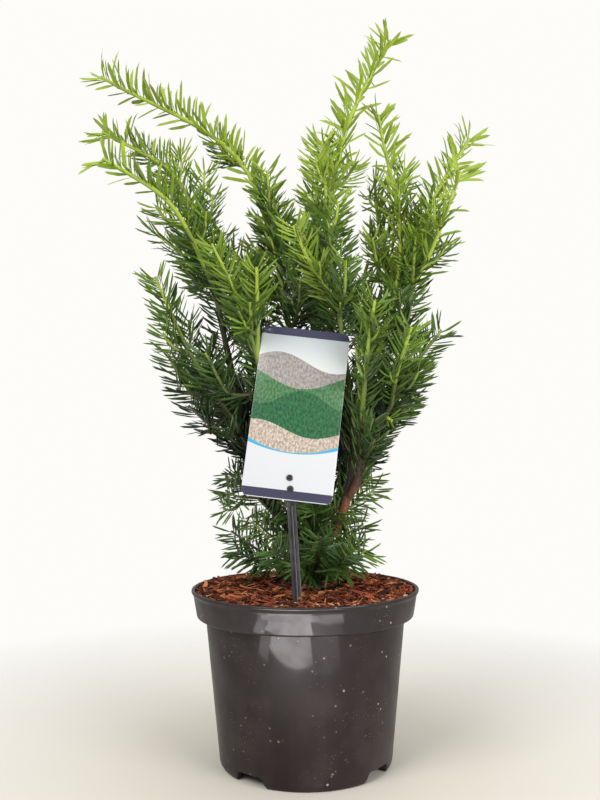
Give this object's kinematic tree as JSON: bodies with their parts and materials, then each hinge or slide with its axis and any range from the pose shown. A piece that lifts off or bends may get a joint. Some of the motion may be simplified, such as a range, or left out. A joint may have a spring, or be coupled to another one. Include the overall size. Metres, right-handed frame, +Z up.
{
  "type": "potted yew shrub",
  "caption": "Young spreading yew shrub with arching needled shoots, in a round tapered nursery pot topped with shredded bark, with a plain picture label on a stake.",
  "frame": {"origin": "middle of the pot's flat underside, on the surface that it stands on", "axes": "+Z up through the pot, -Y towards the label on the front, +X to the right of it"},
  "size_m": [0.3457, 0.2182, 0.6252],
  "materials": {
    "pot_plastic": "dark taupe moulded plastic, semi-gloss",
    "potting_soil": "dark moist potting mix",
    "bark_mulch": "shredded red-brown bark",
    "bark": "thin red-brown flaking bark",
    "needles": "soft evergreen needles, yellow-green on new shoots and dark green inside",
    "label_card": "printed semi-gloss plastic card",
    "label_stake": "black moulded plastic"
  },
  "bodies": {
    "root": {"pot": "pot_plastic", "root_ball": "potting_soil", "bark_mulch": "bark_mulch", "trunk": "bark", "pruned_stem": "bark", "bough_left_top": "bark", "bough_left": "bark", "bough_left_low": "bark", "bough_front_left": "bark", "bough_top": "bark", "bough_right_high": "bark", "bough_right": "bark", "bough_right_low": "bark", "bough_front_right": "bark", "bough_back_left_high": "bark", "bough_back_high": "bark", "bough_back_right_high": "bark", "bough_back_left_low": "bark", "bough_back_low": "bark", "bough_back_right_low": "bark", "foliage_left_top": "needles", "foliage_left": "needles", "foliage_left_low": "needles", "foliage_front_left": "needles", "foliage_top": "needles", "foliage_right_high": "needles", "foliage_right": "needles", "foliage_right_low": "needles", "foliage_front_right": "needles", "foliage_front_foot": "needles", "foliage_left_foot": "needles", "foliage_left_knee": "needles", "foliage_right_foot": "needles", "foliage_right_knee": "needles", "foliage_back_left_high": "needles", "foliage_back_high": "needles", "foliage_back_right_high": "needles", "foliage_back_left_low": "needles", "foliage_back_low": "needles", "foliage_back_right_low": "needles", "foliage_back_foot": "needles", "label_stake": "label_stake", "label_card": "label_card"}
  },
  "joints": []
}
